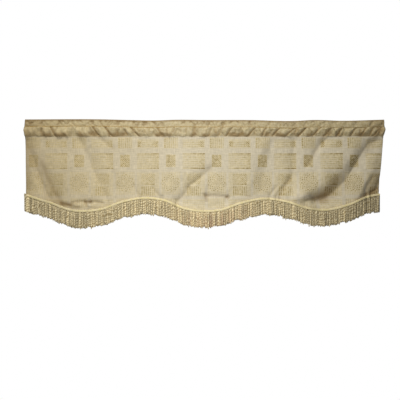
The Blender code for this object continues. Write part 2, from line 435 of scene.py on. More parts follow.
FOLDS = (
    # the long fold: straight down from the right end of the pocket, then bent to the hem
    Fold(726, -68, 620, -226, -4, 24, 40, 9, 22, 1.15, shade_and_dust=0.2),
    Fold(606, -250, 468, -344, 12, 54, 48, 19, 27, 1.15, shade_and_dust=0.4),
    Fold(564, -236, 496, -346, 0, 44, 26, 2, 2, 2, shade_and_dust=0.6),
    Fold(516, -316, 430, -344, 3, 18, 10, 7, 10, 1.25, shade_and_dust=0.5),
    # the ridge beside the long fold, lightened with painted light
    Fold(640, -108, 360, -336, 42, 64, 34, -4, -23, shade_and_dust=-0.3),
    # the right edge, which turns back below the middle
    Fold(726, -70, 690, -146, 2, 13, 20, 8, 3, 1.5, shade_and_dust=0.2),
    Fold(788, -150, 716, -352, 8, 56, 60, 8, 25, 1.6, shade_and_dust=0.2),
    Fold(722, -165, 640, -342, 4, 40, 24, -4, -11, 1.2),
    Fold(730, -232, 700, -320, 0, 30, 34, 0, 0, 2, shade_and_dust=0.35),
    Fold(712, -236, 684, -302, 0, 14, 8, 3, 5, 1.3, shade_and_dust=0.25),
    Fold(748, -236, 738, -286, 0, 9, 8, 4, 5, 1.3, shade_and_dust=0.3),
    Fold(746, -292, 706, -310, 0, 9, 6, 5, 6, 1.2, shade_and_dust=0.7),
    Fold(690, -314, 640, -342, 0, 9, 7, 8, 5, 1.3, shade_and_dust=0.6),
    Fold(740, -300, 636, -340, 0, 15, 14, 0, 0, 2, shade_and_dust=0.5),
    # soft creases from the lower stitching
    Fold(512, -72, 428, -196, 2, 18, 14, 15, 5, 1.3, shade_and_dust=0.3),
    Fold(-452, -70, -385, -126, 0, 9, 14, 7, 2, 1.5, shade_and_dust=0.3),
    Fold(66, -78, 74, -112, 0, 7, 9, 1.8, 0.5, shade_and_dust=0.2),
    Fold(-94, -74, -98, -120, 0, 14, 14, 2, 0.5, shade_and_dust=0.25),
    Fold(-530, -85, -420, -325, 0, 16, 28, 8, 8, 1.3, shade_and_dust=0.15),
    Fold(-412, -140, -374, -300, 0, 12, 18, 3, 4, 1.4),
    Fold(-282, -85, -276, -260, 4, 20, 24, 1.5, 0.5),
    # the folds in the middle of the width
    Fold(40, -180, -110, -352, 6, 30, 40, 2, 6),
    Fold(34, -194, -70, -286, 2, 13, 15, 6, 11, 1.2, shade_and_dust=0.15),
    Fold(-62, -290, -118, -348, 2, 11, 14, 7, 12, 1.2, shade_and_dust=0.25),
    Fold(-10, -170, -190, -330, 6, 50, 30, -2, -5),
    Fold(26, -206, 12, -330, 0, 10, 14, 6, 6, 1.3, shade_and_dust=0.15),
    Fold(-20, -262, -96, -336, 0, 8, 8, -2, -3),
    Fold(-84, -240, -150, -318, 4, 12, 16, 1, 3, 1.4),
    Fold(-140, -210, -158, -268, 0, 10, 14, 2, 3, 1.4),
    # three short wrinkles over the second arch, and the shadow before them
    Fold(362, -246, 312, -342, -3, 12, 10, 10, 12, 1.3, shade_and_dust=0.5),
    Fold(333, -280, 296, -332, -3, 6, 7, 4, 5, 1.3, shade_and_dust=0.25),
    Fold(312, -274, 268, -328, -3, 7, 8, 4, 6, 1.3, shade_and_dust=0.25),
    Fold(384, -80, 364, -322, 0, 20, 26, 6, 10, 1.3, shade_and_dust=0.1),
    Fold(290, -90, 236, -290, 0, 20, 44, 6, 8, 1.3),
    Fold(246, -110, 186, -285, 0, 60, 20, -4, -6),
    Fold(142, -240, 132, -318, 0, 12, 16, 1.5, 2),
    # puckers just above the hem
    Fold(2, -312, 10, -346, 0, 10, 10, 5, 6, 1.3, shade_and_dust=0.6),
    Fold(8, -320, 104, -328, 0, 8, 10, 7, 7, 1.3, shade_and_dust=0.5),
    Fold(90, -326, 100, -336, 0, 8, 8, 7, 7, 1.5, shade_and_dust=0.6),
    Fold(176, -318, 198, -324, 0, 6, 6, 2, 2, shade_and_dust=0.5),
    Fold(-60, -372, 110, -374, 0, 12, 26, -4, -4),
    Fold(-304, -270, -270, -328, 0, 10, 12, 3, 6, 1.4, shade_and_dust=0.2),
    Fold(-224, -288, -180, -332, 0, 9, 12, 3, 6, 1.4, shade_and_dust=0.2),
    # the left edge, which turns back in its upper half
    Fold(-768, -66, -766, -300, 0, 50, 40, 8, 13, shade_and_dust=0.6),
    # the fold by the left end
    Fold(-746, -108, -656, -346, -4, 20, 74, 6, 27, 1.2, shade_and_dust=0.35),
    Fold(-690, -185, -612, -351, -2, 12, 16, 1, 3, 1.6, shade_and_dust=0.4),
    Fold(-590, -170, -530, -385, 0, 50, 85, -4, -9),
    # the creases just above the hem of the first scallop, and the two puffs under them
    Fold(-636, -344, -530, -371, 0, 14, 12, 0, 0, 2, shade_and_dust=0.5),
    Fold(-610, -356, -564, -365, 0, 8, 12, 8, 8, 1.3, shade_and_dust=0.9),
    Fold(-562, -352, -506, -346, 0, 7, 7, 6, 7, 1.3, shade_and_dust=0.5),
    Fold(-508, -350, -480, -347, 0, 8, 7, 9, 8, 1.2, shade_and_dust=1.0),
    Fold(-504, -352, -500, -370, 0, 5, 5, 5, 4, 1.3, shade_and_dust=0.5),
    Fold(-484, -347, -430, -351, 2, 8, 6, 8, 6, 1.3, shade_and_dust=0.5),
    Fold(-552, -362, -524, -362, 0, 9, 7, -5, -6),
    Fold(-490, -364, -466, -364, 0, 9, 7, -6, -4),
)


class Wave(NamedTuple):
    """A long wave across the width: its length, height and shift."""

    length: float
    height: float
    shift: float


SWAY = (Wave(length=640, height=5.0, shift=90), Wave(length=290, height=2.2, shift=-40))


@dataclass(frozen=True)
class Hang:
    """How far the hanging cloth lies behind the plane of the seam.

    Each unevenness is a height and a size. run_out and start are shares of a fold's length: how
    far it goes on past its ends and over how much of it it rises.
    """

    sway_below: float = 120 * MM  # where the long waves have their full height
    seam_hold: float = 22 * MM
    run_out: float = 0.18
    start: float = 0.25
    wander: tuple[float, float] = (4.5 * MM, 58 * MM)  # of the lines of the folds
    broad: tuple[float, float] = (1.6 * MM, 42 * MM)
    fine: tuple[float, float] = (0.7 * MM, 15 * MM)
    puckers: tuple[float, float] = (1.1 * MM, 9 * MM)
    puckers_fade: float = 22 * MM
    narrowed: float = 1.25  # how much narrower the painted shade of a fold's line is than the fold

    def fold(self, x: np.ndarray, z: np.ndarray, f: Fold) -> tuple[np.ndarray, np.ndarray]:
        """One fold: its depth along the line, times e to the minus (off / reach)^point.

        Args:
            x: Places across.
            z: Heights.
            f: The fold.

        Returns:
            Depth in metres, positive backwards, and the painted shade and dust of its line.
        """
        run = np.array([f.lower_x - f.upper_x, f.lower_z - f.upper_z]) * MM
        length = np.hypot(*run)
        along = run / length
        dx, dz = x - f.upper_x * MM, z - f.upper_z * MM
        t = (dx * along[0] + dz * along[1]) / length
        inside = np.clip(t, 0.0, 1.0)
        off = dz * along[0] - dx * along[1] - f.bow * MM * 4 * inside * (1 - inside)
        off = off + self.wander[0] * soft_noise(x, z, self.wander[1], 14)
        share = np.abs(off / (np.where(off < 0, f.left, f.right) * MM))
        depth = (f.upper_depth + (f.lower_depth - f.upper_depth) * inside) * MM
        ends = ease((t + self.run_out) / self.start) * ease((1 + self.run_out - t) / self.start)
        shade_and_dust = f.shade_and_dust * ends * np.exp(-((self.narrowed * share) ** 2))
        return depth * ends * np.exp(-(share**f.point)), shade_and_dust

    def shade_and_dust(self, x: np.ndarray, z: np.ndarray) -> np.ndarray:
        """The painted shade and dust along the lines of the folds, and the painted light where it is below
        0.
        """
        return sum(self.fold(x, z, f)[1] for f in FOLDS if f.shade_and_dust)

    def depth(self, x: np.ndarray, z: np.ndarray) -> np.ndarray:
        """Sum of the long waves, the folds and a slight unevenness, all nothing at the seam.

        Args:
            x: Places across.
            z: Heights.

        Returns:
            Depth in metres, positive backwards.
        """
        below = -z - SEAM
        turns = [2 * np.pi * (x - w.shift * MM) / (w.length * MM) for w in SWAY]
        long = sum(w.height * MM * np.sin(turn) for w, turn in zip(SWAY, turns))
        uneven = self.broad[0] * soft_noise(x, z * 0.6, self.broad[1], 11)
        uneven = uneven + self.fine[0] * soft_noise(x, z, self.fine[1], 12)
        loose = sum(self.fold(x, z, f)[0] for f in FOLDS) + uneven
        puckers = self.puckers[0] * soft_noise(x, 0.0, self.puckers[1], 13)
        puckers = puckers * np.exp(-below / self.puckers_fade) * ease(below / (3 * MM))
        return ease(below / self.sway_below) * long + ease(below / self.seam_hold) * loose + puckers


class Crease(NamedTuple):
    """A short fold across the front of the pocket.

    top and low are the places of its upper and lower ends. before and after say how low the crest
    of the pocket lies on its two sides, from -1 at the upper stitching to 1 at the lower.
    """

    top: float
    low: float
    depth: float
    before: float = -0.4
    after: float = 0.1


CREASES = (
    Crease(-790, -790, 0.0, -0.2, -0.2), Crease(-654, -628, 6.5, -0.5, 0.1),
    Crease(-560, -565, 1.5, -0.1, -0.1), Crease(-476, -447, 7.0, -0.5, 0.2),
    Crease(-424, -391, 7.0, -0.3, 0.3), Crease(-350, -345, 1.5, -0.1, -0.1),
    Crease(-315, -277, 6.5, -0.4, 0.3), Crease(-240, -236, 1.5, -0.1, -0.2),
    Crease(-201, -179, 5.5, -0.3, 0.2), Crease(-128, -150, 3.0, 0.1, -0.3),
    Crease(-18, -52, 4.0, 0.1, -0.2), Crease(32, 18, 3.5, -0.2, -0.1), Crease(78, 58, 4.5),
    Crease(121, 91, 5.0), Crease(157, 147, 3.5, -0.2, 0.0), Crease(218, 185, 5.5),
    Crease(262, 243, 5.0), Crease(320, 288, 6.0), Crease(384, 340, 6.5), Crease(432, 398, 6.5),
    Crease(494, 458, 6.0), Crease(540, 505, 6.5), Crease(583, 560, 6.5),
    Crease(642, 617, 5.0, -0.4, 0.0), Crease(685, 662, 5.5, -0.4, 0.0),
    Crease(714, 697, 4.0, -0.3, 0.0), Crease(752, 709, 4.5, -0.2, 0.0),
    Crease(790, 790, 0.0, 0.0, 0.0),
)


# ---- Finishes ----


class Column(Enum):
    """Kinds of column in the figured weave, by the middle of one of each, in millimetres."""

    WIDE = 149.0
    NARROW = 52.0


class Ribs(Enum):
    """Which way the ribs of a figure run: the axes of the lay on which they follow one another."""

    NONE = ()
    ACROSS = (1,)
    DOWN = (0,)
    BOTH = (0, 1)


class Figure(NamedTuple):
    """A block or line of the weave, which comes again in every column of its kind.

    middle and offset are its middle under the top edge and beside the column's, across and down
    are half its size, all in millimetres. strength is how dark it is, from 0 for the ground to 1
    for the lines, and left is the share of that at its left end. every is 2 for a figure that is
    only in every second column of its kind.
    """

    column: Column
    middle: float
    across: float
    down: float
    strength: float
    left: float = 1.0
    offset: float = 0.0
    ribs: Ribs = Ribs.NONE
    every: int = 1


FIGURES = (
    # the fields, a shade warmer than the stripes and bands between them
    Figure(Column.WIDE, 101, 47, 19, 0.24, ribs=Ribs.ACROSS),
    Figure(Column.NARROW, 97, 30, 23, 0.36, left=1.3, ribs=Ribs.DOWN),
    Figure(Column.WIDE, 272, 47, 50, 0.24, ribs=Ribs.BOTH),
    Figure(Column.NARROW, 268, 40, 48, 0.24, ribs=Ribs.DOWN),
    Figure(Column.WIDE, 356, 47, 22, 0.26, ribs=Ribs.ACROSS),
    Figure(Column.NARROW, 352, 36, 20, 0.3, ribs=Ribs.DOWN),
    # a wide block with a dark right end, and the small dark blocks beside it
    Figure(Column.WIDE, 102, 44, 14, 0.42, left=0.7, ribs=Ribs.ACROSS),
    Figure(Column.WIDE, 102, 12, 13, 0.78, left=0.6, offset=31, ribs=Ribs.BOTH),
    Figure(Column.WIDE, 102, 8, 13, 0.7, left=1.3, offset=-35, every=2, ribs=Ribs.BOTH),
    Figure(Column.NARROW, 97, 4, 21, 0.6, offset=-25, ribs=Ribs.ACROSS),
    # a wide ribbed block between two lines, and the dark block beside it
    Figure(Column.WIDE, 174, 47, 31, 0.4, left=0.65, ribs=Ribs.ACROSS),
    Figure(Column.WIDE, 143.5, 47, 2.2, 0.9, left=0.35),
    Figure(Column.WIDE, 204.5, 47, 2.2, 0.95, left=0.3),
    Figure(Column.WIDE, 175.5, 13, 29, 0.55, left=0.5, offset=33, ribs=Ribs.BOTH),
    Figure(Column.NARROW, 173, 20, 26, 0.66, left=1.25, ribs=Ribs.BOTH),
    # the tall ribbed block
    Figure(Column.WIDE, 250, 30, 23, 0.6, left=0.7, ribs=Ribs.BOTH),
    Figure(Column.WIDE, 272, 28, 2.2, 0.9, left=0.3, every=2),
    Figure(Column.WIDE, 300, 30, 20, 0.5, left=1.3, ribs=Ribs.DOWN),
)


class Roundel(NamedTuple):
    """A round figure of dots on rings: its column, middle, radius and ring spacing, in millimetres."""

    column: Column
    middle: float
    radius: float
    ring: float
    rays: int
    strength: float
    ground: float


ROUNDEL = Roundel(Column.NARROW, 266, radius=40, ring=11.5, rays=13, strength=0.72, ground=0.16)


@dataclass(frozen=True)
class Jacquard:
    """Cotton and rayon furnishing jacquard, woven: blocks and stripes of satin on a dull ground.

    To the eye it is tone on tone: a matt greyish ground with slubs, khaki gold blocks with a low
    sheen that stand a hair above it, and thin darker lines. Its back shows the same figures weaker.
    The threads, about 0.4 mm apart, are too fine to show, so the ribs are drawn 9 mm apart.
    """

    name: str = "cotton_rayon_jacquard"
    ground: str = "CFC5AD"
    field: str = "CFC2A0"
    block: str = "B9A97E"
    line: str = "8F7A48"
    shade_and_dust: str = "886E44"
    left_tint: str = "FFF2CF"
    contrast: float = 1.0
    gathers_shade: float = 0.36  # painted shade of the gathers: how dark heading and pocket are at least
    shade_and_dust_cover: float = 0.8  # how far the painted shade and dust hide the weave where they are thickest
    roughness: float = 0.72
    pitch: float = 194 * MM  # one repeat along the width
    rib: float = 9 * MM
    edge: float = 1.6 * MM  # half the soft edge of a figure

    def beside(self, tree: bpy.types.NodeTree, way: Any, middle: float, period: float) -> Any:
        """Distance past the nearest of the middles that follow one another by a period, in metres."""
        moved = add(tree, "Math", [way, middle], operation="SUBTRACT")
        return add(tree, "Math", [moved, period / 2, -period / 2], operation="WRAP")

    def figure(self, tree: bpy.types.NodeTree, across: Any, down: Any, f: Figure) -> Any:
        """How dark one figure makes the cloth.

        Inside its two half sizes it is strength, times a line from left at its left end to 1 at
        its right end, times 1.1 to 0.3 by a sine across its ribs.

        Args:
            tree: Node tree.
            across: Metres across the lay.
            down: Metres down the lay.
            f: The figure.

        Returns:
            The last node.
        """
        halves = (f.across * MM, f.down * MM)
        near = (
            self.beside(tree, across, (f.column.value + f.offset) * MM, self.pitch * f.every),
            add(tree, "Math", [down, f.middle * MM], operation="SUBTRACT"),
        )
        inside = 1.0
        for off, half in zip(near, halves):
            size = add(tree, "Math", [off], operation="ABSOLUTE")
            limits = [size, half - self.edge, half + self.edge, 1.0, 0.0]
            held = add(tree, "MapRange", limits, interpolation_type="SMOOTHSTEP")
            inside = add(tree, "Math", [held, inside], operation="MULTIPLY")
        slope = [near[0], -halves[0], halves[0], f.left * f.strength, f.strength]
        dark = add(tree, "Math", [inside, add(tree, "MapRange", slope)], operation="MULTIPLY")
        wave = 1.0
        for axis in f.ribs.value:
            turn = add(tree, "Math", [near[axis], 2 * np.pi / self.rib], operation="MULTIPLY")
            sine = add(tree, "Math", [turn], operation="SINE")
            wave = add(tree, "Math", [sine, wave], operation="MULTIPLY")
        lines = add(tree, "Math", [wave, 0.42, 0.7], operation="MULTIPLY_ADD")
        return add(tree, "Math", [dark, lines], operation="MULTIPLY")

    def roundel(self, tree: bpy.types.NodeTree, across: Any, down: Any, r: Roundel) -> Any:
        """The round figure: dots where the cosines of the radius and of the angle are both high.

        Args:
            tree: Node tree.
            across: Metres across the lay.
            down: Metres down the lay.
            r: The roundel.

        Returns:
            The last node.
        """
        x = self.beside(tree, across, r.column.value * MM, self.pitch)
        y = add(tree, "Math", [down, r.middle * MM], operation="SUBTRACT")
        high = add(tree, "Math", [y, y], operation="MULTIPLY")
        square = add(tree, "Math", [x, x, high], operation="MULTIPLY_ADD")
        radius = add(tree, "Math", [square], operation="SQRT")
        angle = add(tree, "Math", [y, x], operation="ARCTAN2")
        dots = 1.0
        for way, turns in ((radius, 2 * np.pi / (r.ring * MM)), (angle, float(r.rays))):
            turn = add(tree, "Math", [way, turns], operation="MULTIPLY")
            cosine = add(tree, "Math", [turn], operation="COSINE")
            dots = add(tree, "Math", [cosine, dots], operation="MULTIPLY")
        drawn = [dots, 0.05, 0.8, r.ground, r.strength]
        drawn = add(tree, "MapRange", drawn, interpolation_type="SMOOTHSTEP")
        edge = 2 * self.edge
        inside = [radius, r.radius * MM - edge, r.radius * MM + edge, 1.0, 0.0]
        inside = add(tree, "MapRange", inside, interpolation_type="SMOOTHSTEP")
        return add(tree, "Math", [drawn, inside], operation="MULTIPLY")

    def figures(self, tree: bpy.types.NodeTree, lay: Any) -> Any:
        """The darkest of the figures at each place, worn uneven by a soft noise, with painted shade and
        sheen.

        Args:
            tree: Node tree.
            lay: Metres across and down the lay.

        Returns:
            The last node.
        """
        ways = add(tree, "SeparateXYZ", [lay])
        darkest = self.roundel(tree, *ways.outputs[:2], ROUNDEL)
        for f in FIGURES:
            drawn = self.figure(tree, *ways.outputs[:2], f)
            darkest = add(tree, "Math", [darkest, drawn], operation="MAXIMUM")
        # painted shade: above the lower stitching the weave is at least this dark, for the shade among the
        # gathers
        gathered = [ways.outputs[1], SEAM - 2 * MM, SEAM + 2 * MM, self.gathers_shade, 0.0]
        darkest = add(tree, "Math", [darkest, add(tree, "MapRange", gathered)], operation="MAXIMUM")
        # worn in patches of about 9 mm
        uneven = add(tree, "TexNoise", {"Vector": lay, "Scale": 110.0, "Detail": 3.0, "Roughness": 0.7})
        wear_and_sheen = add(tree, "MapRange", [uneven, 0.3, 0.7, 0.3, 1.6])
        # painted sheen: the figures grow stronger towards the right end, as the satin shows more from one
        # side of the light than from the other
        side = [ways, -END, END, 0.72 * self.contrast, 1.35 * self.contrast]
        wear_and_sheen = add(tree, "Math", [wear_and_sheen, add(tree, "MapRange", side)], operation="MULTIPLY")
        return add(tree, "Math", [darkest, wear_and_sheen], operation="MULTIPLY")

    def slubs(self, tree: bpy.types.NodeTree, lay: Any) -> Any:
        """Thick and thin threads both ways: the mean of two noises, one drawn out each way.

        Real slubs are under a millimetre thick. They are drawn four times as coarse, to show.

        Args:
            tree: Node tree.
            lay: Metres across and down the lay.

        Returns:
            The last node.
        """
        both = []
        # cells a metre, across and down: one way 28 x 4 mm and the other way 4 x 24 mm
        for scale in ((36, 250, 1), (270, 42, 1)):
            drawn = add(tree, "Mapping", {"Vector": lay, "Scale": scale})
            both.append(add(tree, "TexNoise", {"Vector": drawn, "Scale": 1.0, "Detail": 3.0}))
        return add(tree, "Math", [add(tree, "Math", both, operation="ADD"), 0.5], operation="MULTIPLY")

    def material(self) -> bpy.types.Material:
        """Build the node material on the cloth's own lay, in metres across and down.

        Returns:
            The material.
        """
        made, tree = new_material(self.name)
        lay = add(tree, "UVMap", uv_map="lay").outputs[0]
        dark = self.figures(tree, lay)
        slubs = self.slubs(tree, lay)
        ramp = add(tree, "ValToRGB", [dark])
        stops = ((0.0, self.ground), (0.22, self.field), (0.6, self.block), (1.0, self.line))
        for _ in range(len(stops) - 2):
            ramp.color_ramp.elements.new(0.5)
        for stop, (at, code) in zip(ramp.color_ramp.elements, stops):
            stop.position = at
            stop.color = colour(code)
        shade = add(tree, "MapRange", [slubs, 0.3, 0.7, 0.78, 1.16])
        # painted light: a value below 0 says how much lighter the doubled hem and the ridge of the long
        # fold are
        shade_and_dust = add(tree, "Attribute", attribute_name="shade_and_dust").outputs["Fac"]
        light = add(tree, "MapRange", [shade_and_dust, -0.6, 0.0, 1.13, 1.0])
        shade = add(tree, "Math", [shade, light], operation="MULTIPLY")
        threads = add(tree, "VectorMath", {0: ramp, 3: shade}, operation="SCALE")
        # yellower towards the left end
        across = add(tree, "SeparateXYZ", [lay])
        yellow = add(tree, "MapRange", [across, -END, -100 * MM, 0.5, 0.0])
        tinted = {0: yellow, 6: threads, 7: colour(self.left_tint)}
        warmer_left = add(tree, "Mix", tinted, data_type="RGBA", blend_type="MULTIPLY").outputs[2]
        # painted shade, with some dust, darkens the creases, the fold along the top edge, the lower half of
        # the pocket and both ends
        shade_and_dust_mix = add(tree, "MapRange", [shade_and_dust, 0.1, 1.3, 0.0, self.shade_and_dust_cover])
        mixed = {0: shade_and_dust_mix, 6: warmer_left, 7: colour(self.shade_and_dust)}
        base = add(tree, "Mix", mixed, data_type="RGBA").outputs[2]
        raised = add(tree, "Math", [slubs, 1.6, dark], operation="MULTIPLY_ADD")
        bump = add(tree, "Bump", {"Strength": 0.5, "Distance": 0.5 * MM, "Height": raised})
        surface = {
            "Base Color": base,
            "Roughness": self.roughness,
            "Sheen Weight": 0.12,
            "Sheen Roughness": 0.5,
            "Specular IOR Level": 0.3,
            "Normal": bump,
        }
        add(tree, "OutputMaterial", [add(tree, "BsdfPrincipled", surface)])
        return made


@dataclass(frozen=True)
class TwistedCord:
    """Viscose cord, twisted of two strands: silky, with a dash at every turn, and painted shade in the
    groove between the strands.

    The real strands come round every 4 mm. They are drawn 10 mm apart, which still shows.
    """

    name: str = "twisted_viscose_cord"
    light: str = "FDEFC6"
    dark: str = "B29D6E"
    blush: str = "BA8470"
    turn: float = 10.5 * MM
    loose: float = 1.15  # how many turns the twist strays from an even one
    roughness: float = 0.5

    def material(self) -> bpy.types.Material:
        """Build the material on the share round the cord, the metres along it and its tone.

        The painted shade of the groove lies where the sine of the share round plus the turns along is low.

        Returns:
            The material.
        """
        made, tree = new_material(self.name)
        # the twist strays from one 22 mm of a cord to the next
        place = add(tree, "TexCoord").outputs["Object"]
        loose = add(tree, "TexNoise", {"Vector": place, "Scale": 45.0, "Detail": 1.0})
        lay = add(tree, "SeparateXYZ", [add(tree, "UVMap", uv_map="lay")])
        along = add(tree, "Math", [lay.outputs[1], 1 / self.turn, lay], operation="MULTIPLY_ADD")
        phase = add(tree, "Math", [loose, self.loose * 2, along], operation="MULTIPLY_ADD")
        turns = add(tree, "Math", [phase, 2 * np.pi], operation="MULTIPLY")
        wave = add(tree, "Math", [turns], operation="SINE")
        strand = add(tree, "Math", [wave, 0.5, 0.5], operation="MULTIPLY_ADD")
        groove = add(tree, "Math", [strand, 0.85], operation="POWER")
        silk = {0: groove, 6: colour(self.dark), 7: colour(self.light)}
        silk = add(tree, "Mix", silk, data_type="RGBA").outputs[2]
        # the blush of the cords that have faded
        warm = add(tree, "Attribute", attribute_name="blush").outputs["Fac"]
        faded = add(tree, "Math", [warm, 0.42], operation="MULTIPLY")
        silk = add(tree, "Mix", {0: faded, 6: silk, 7: colour(self.blush)}, data_type="RGBA").outputs[2]
        # the turns catch the light unevenly, in spots of 5 mm
        grain = add(tree, "TexNoise", {"Vector": place, "Scale": 210.0, "Detail": 2.0, "Roughness": 0.7})
        grain = add(tree, "MapRange", [grain, 0.3, 0.7, 0.85, 1.12])
        tone = add(tree, "Attribute", attribute_name="tone").outputs["Fac"]
        tone = add(tree, "Math", [tone, grain], operation="MULTIPLY")
        bump = add(tree, "Bump", {"Strength": 0.4, "Distance": 0.5 * MM, "Height": groove})
        surface = {
            "Base Color": add(tree, "VectorMath", {0: silk, 3: tone}, operation="SCALE"),
            "Roughness": self.roughness,
            "Sheen Weight": 0.1,
            "Specular IOR Level": 0.35,
            "Normal": bump,
        }
        add(tree, "OutputMaterial", [add(tree, "BsdfPrincipled", surface)])
        return made


@dataclass(frozen=True)
class PlaitedBraid:
    """Viscose braid, plaited flat: pale straw yellow with a soft silk gloss and slanting strands."""

    name: str = "plaited_viscose_braid"
    light: str = "F6EAC4"
    dark: str = "D2BE8A"
    faded: str = "E2D398"
    roughness: float = 0.5
    strand: float = 5 * MM

    def material(self) -> bpy.types.Material:
        """Build the material on the share round the braid and the metres along it.

        Returns:
            The material.
        """
        made, tree = new_material(self.name)
        lay = add(tree, "SeparateXYZ", [add(tree, "UVMap", uv_map="lay")])
        slant = add(tree, "Math", [lay, 0.5], operation="PINGPONG")
        along = add(tree, "Math", [lay.outputs[1], 1 / self.strand, slant], operation="MULTIPLY_ADD")
        turns = add(tree, "Math", [along, np.pi], operation="MULTIPLY")
        wave = add(tree, "Math", [turns], operation="SINE")
        strand = add(tree, "Math", [wave], operation="ABSOLUTE")
        mixed = {0: strand, 6: colour(self.dark), 7: colour(self.light)}
        base = add(tree, "Mix", mixed, data_type="RGBA").outputs[2]
        # it has yellowed in patches of 13 mm
        place = add(tree, "TexCoord").outputs["Object"]
        patches = add(tree, "TexNoise", {"Vector": place, "Scale": 75.0, "Detail": 3.0, "Roughness": 0.7})
        patches = add(tree, "MapRange", [patches, 0.42, 0.62, 0.0, 0.85])
        base = add(tree, "Mix", {0: patches, 6: base, 7: colour(self.faded)}, data_type="RGBA").outputs[2]
        bump = add(tree, "Bump", {"Strength": 0.5, "Distance": 0.3 * MM, "Height": strand})
        surface = {
            "Base Color": base,
            "Roughness": self.roughness,
            "Sheen Weight": 0.1,
            "Specular IOR Level": 0.4,
            "Normal": bump,
        }
        add(tree, "OutputMaterial", [add(tree, "BsdfPrincipled", surface)])
        return made


@dataclass(frozen=True)
class SewingThread:
    """Mercerised cotton thread, spun and twisted: mustard gold with a small gloss."""

    name: str = "mustard_sewing_thread"
    light: str = "C4A048"
    dark: str = "967430"
    roughness: float = 0.5
    twists: float = 1200.0  # turns of the twist in a metre of thread

    def material(self) -> bpy.types.Material:
        """Build the material, with the twist as stripes along each stitch.

        Returns:
            The material.
        """
        made, tree = new_material(self.name)
        lay = add(tree, "SeparateXYZ", [add(tree, "UVMap", uv_map="lay")])
        along = add(tree, "Math", [lay.outputs[1], self.twists, lay], operation="MULTIPLY_ADD")
        turns = add(tree, "Math", [along, 2 * np.pi], operation="MULTIPLY")
        wave = add(tree, "Math", [turns], operation="SINE")
        strand = add(tree, "Math", [wave, 0.5, 0.5], operation="MULTIPLY_ADD")
        mixed = {0: strand, 6: colour(self.dark), 7: colour(self.light)}
        base = add(tree, "Mix", mixed, data_type="RGBA").outputs[2]
        # painted shade: darker towards the right end, where less light falls
        place = add(tree, "SeparateXYZ", [add(tree, "TexCoord").outputs["Object"]])
        painted_light = add(tree, "MapRange", [place, 0.1, 0.7, 1.0, 0.45])
        base = add(tree, "VectorMath", {0: base, 3: painted_light}, operation="SCALE")
        surface = {"Base Color": base, "Roughness": self.roughness}
        add(tree, "OutputMaterial", [add(tree, "BsdfPrincipled", surface)])
        return made


# ---- The cloth ----


class Turn(NamedTuple):
    """A row of the turned hem.

    lift is its height as a share of the hem's, and back is how many half pitches it lies behind
    the front layer.
    """

    lift: float
    back: float


HEM_TURN = (
    Turn(0.66, 0), Turn(0.33, 0), Turn(0.08, 0), Turn(0.02, 0.3), Turn(0, 1),
    Turn(0.02, 1.7), Turn(0.08, 2), Turn(0.5, 2), Turn(1, 2),
)


